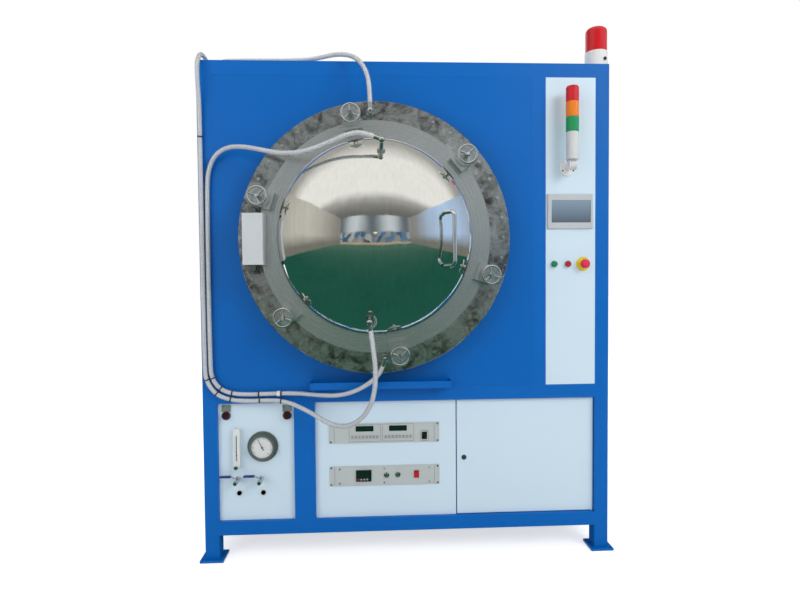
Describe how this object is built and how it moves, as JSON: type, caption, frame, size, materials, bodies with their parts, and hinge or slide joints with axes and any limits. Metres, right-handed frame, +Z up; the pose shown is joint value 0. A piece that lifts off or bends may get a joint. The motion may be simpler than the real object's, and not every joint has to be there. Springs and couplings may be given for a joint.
{
  "type": "vacuum sintering furnace",
  "caption": "Free-standing vacuum furnace: blue tube frame, horizontal vessel behind a dished door with handwheel clamps, panels for controls, gas and instruments, and water hoses",
  "frame": {"origin": "On the floor, under the middle of the whole furnace without its hoses", "axes": "+Z up, the front with the vessel door looks towards -Y, +X to the right seen from the front"},
  "size_m": [1.81, 1.9056, 2.312],
  "materials": {
    "frame_blue": "gloss paint",
    "panel_blue": "gloss paint",
    "panel_white": "satin paint",
    "machined_steel": "turned and lightly stained",
    "vessel_steel": "mill finish",
    "mirror_steel": "mirror polished",
    "bright_chrome": "bright",
    "fitting_steel": "bright",
    "cover_grey": "satin",
    "seal_rubber": "matte",
    "hot_felt": "dense graphite felt",
    "dark_rod": "dark machined",
    "lead_copper": "bare copper",
    "machine_grey": "satin paint",
    "bezel_green": "dark green-grey paint",
    "screen_grey": "light grey, dark glass",
    "collar_trim": "bright collar, yellow stop collar",
    "rack_beige": "satin",
    "tower_grey": "grey body, coloured lamps",
    "beacon_red": "red lens, white base",
    "clear_hose": "clear, wire reinforced",
    "button_green": "green cap",
    "button_red": "red cap",
    "rocker_black": "black",
    "rocker_red": "red",
    "knob_dark": "dark"
  },
  "bodies": {
    "furnace": {"frame_posts": "frame_blue", "frame_rails": "frame_blue", "foot_plates": "frame_blue", "front_panel": "panel_blue", "drip_ledge": "panel_blue", "control_panel": "panel_white", "valve_panel": "panel_white", "instrument_panel": "panel_white", "cladding_panels": "panel_blue", "power_leads": "lead_copper", "floor_tray": "panel_blue", "vessel_cradle": "frame_blue", "body_flange": "machined_steel", "door_seal": "seal_rubber", "chamber_shell": "vessel_steel", "cooling_jacket": "vessel_steel", "insulation": "hot_felt", "heating_elements": "dark_rod", "hearth": "dark_rod", "vacuum_pump": "machine_grey", "power_transformer": "machine_grey", "hinge_bracket": "machined_steel", "water_fittings": "fitting_steel", "gauge_case": "bezel_green", "gas_fittings": "fitting_steel", "touch_panel": "screen_grey", "button_collars": "collar_trim", "rack_units": "rack_beige", "signal_mount": "tower_grey", "beacon": "beacon_red", "hose_link": "clear_hose", "hose_supply": "clear_hose", "hose_return": "clear_hose"},
    "door": {"door_flange": "machined_steel", "door_dome": "mirror_steel", "door_handle": "bright_chrome", "door_hinge_arm": "machined_steel", "hinge_cover": "cover_grey", "door_fittings": "fitting_steel", "door_insulation": "hot_felt"},
    "handwheel_1": {"handwheel_1": "bright_chrome"},
    "handwheel_2": {"handwheel_2": "bright_chrome"},
    "handwheel_3": {"handwheel_3": "bright_chrome"},
    "handwheel_4": {"handwheel_4": "bright_chrome"},
    "handwheel_5": {"handwheel_5": "bright_chrome"},
    "handwheel_6": {"handwheel_6": "bright_chrome"},
    "signal_tower": {"signal_tower": "tower_grey"},
    "cabinet_door": {"cabinet_door": "panel_white"},
    "cabinet_lock": {"cabinet_lock": "bright_chrome"},
    "start_button": {"start_button": "button_green"},
    "stop_button": {"stop_button": "button_red"},
    "emergency_stop": {"emergency_stop": "button_red"},
    "rocker_switch_1": {"rocker_switch_1": "rocker_black"},
    "rocker_switch_2": {"rocker_switch_2": "rocker_red"},
    "valve_lever_1": {"valve_lever_1": "fitting_steel"},
    "valve_lever_2": {"valve_lever_2": "fitting_steel"},
    "needle_knob": {"needle_knob": "knob_dark"},
    "gauge_pointer": {"gauge_pointer": "knob_dark"},
    "latch_knob_1": {"latch_knob_1": "knob_dark"},
    "latch_knob_2": {"latch_knob_2": "knob_dark"}
  },
  "joints": [
    {"name": "door_swing", "type": "hinge", "parent": "furnace", "child": "door", "pos_m": [-0.628, -0.74518, 1.3725], "axis": [0, 0, -1], "range_deg": [0, 110], "deforming": ["hose_link", "hose_supply"]},
    {"name": "handwheel_1_turn", "type": "hinge", "parent": "door", "child": "handwheel_1", "pos_m": [0.22748, -0.76518, 1.70083], "axis": [0, 1, 0], "range_deg": [-720, 0]},
    {"name": "handwheel_2_turn", "type": "hinge", "parent": "door", "child": "handwheel_2", "pos_m": [-0.23137, -0.76518, 1.85793], "axis": [0, 1, 0], "range_deg": [-720, 0]},
    {"name": "handwheel_3_turn", "type": "hinge", "parent": "door", "child": "handwheel_3", "pos_m": [-0.59685, -0.76518, 1.5391], "axis": [0, 1, 0], "range_deg": [-720, 0]},
    {"name": "handwheel_4_turn", "type": "hinge", "parent": "door", "child": "handwheel_4", "pos_m": [-0.50348, -0.76518, 1.06317], "axis": [0, 1, 0], "range_deg": [-720, 0]},
    {"name": "handwheel_5_turn", "type": "hinge", "parent": "door", "child": "handwheel_5", "pos_m": [-0.04463, -0.76518, 0.90607], "axis": [0, 1, 0], "range_deg": [-720, 0]},
    {"name": "handwheel_6_turn", "type": "hinge", "parent": "door", "child": "handwheel_6", "pos_m": [0.32085, -0.76518, 1.2249], "axis": [0, 1, 0], "range_deg": [-720, 0]},
    {"name": "signal_tower_fold", "type": "hinge", "parent": "furnace", "child": "signal_tower", "pos_m": [0.7, -0.64717, 1.69], "axis": [1, 0, 0], "range_deg": [0, 90]},
    {"name": "cabinet_door_swing", "type": "hinge", "parent": "furnace", "child": "cabinet_door", "pos_m": [0.818, -0.56817, 0.4265], "axis": [0, 0, 1], "range_deg": [0, 95]},
    {"name": "cabinet_lock_turn", "type": "hinge", "parent": "cabinet_door", "child": "cabinet_lock", "pos_m": [0.243, -0.57217, 0.424], "axis": [0, 1, 0], "range_deg": [0, 90]},
    {"name": "start_button_press", "type": "slide", "parent": "furnace", "child": "start_button", "axis": [0, 1, 0], "range_m": [0, 0.004], "stiffness_N_per_m": 500, "springref_m": -0.002},
    {"name": "stop_button_press", "type": "slide", "parent": "furnace", "child": "stop_button", "axis": [0, 1, 0], "range_m": [0, 0.004], "stiffness_N_per_m": 500, "springref_m": -0.002},
    {"name": "emergency_stop_press", "type": "slide", "parent": "furnace", "child": "emergency_stop", "axis": [0, 1, 0], "range_m": [0, 0.005], "stiffness_N_per_m": 900, "springref_m": -0.002},
    {"name": "rocker_switch_1_tip", "type": "hinge", "parent": "furnace", "child": "rocker_switch_1", "pos_m": [0.068, -0.57017, 0.52495], "axis": [1, 0, 0], "range_deg": [-20, 0]},
    {"name": "rocker_switch_2_tip", "type": "hinge", "parent": "furnace", "child": "rocker_switch_2", "pos_m": [0.032, -0.57017, 0.35395], "axis": [1, 0, 0], "range_deg": [-20, 0]},
    {"name": "valve_lever_1_turn", "type": "hinge", "parent": "furnace", "child": "valve_lever_1", "pos_m": [-0.742, -0.59918, 0.366], "axis": [0, 0, 1], "range_deg": [0, 90]},
    {"name": "valve_lever_2_turn", "type": "hinge", "parent": "furnace", "child": "valve_lever_2", "pos_m": [-0.641, -0.59918, 0.366], "axis": [0, 0, 1], "range_deg": [0, 90]},
    {"name": "needle_knob_turn", "type": "hinge", "parent": "furnace", "child": "needle_knob", "pos_m": [-0.743, -0.60218, 0.412], "axis": [0, 1, 0], "range_deg": [-720, 0]},
    {"name": "gauge_pointer_turn", "type": "hinge", "parent": "furnace", "child": "gauge_pointer", "pos_m": [-0.635, -0.59118, 0.492], "axis": [0, 1, 0], "range_deg": [-95, 165]},
    {"name": "latch_knob_1_turn", "type": "hinge", "parent": "furnace", "child": "latch_knob_1", "pos_m": [-0.789, -0.57617, 0.6297], "axis": [0, 1, 0], "range_deg": [0, 90]},
    {"name": "latch_knob_2_turn", "type": "hinge", "parent": "furnace", "child": "latch_knob_2", "pos_m": [-0.5288, -0.57617, 0.6267], "axis": [0, 1, 0], "range_deg": [-90, 0]}
  ]
}
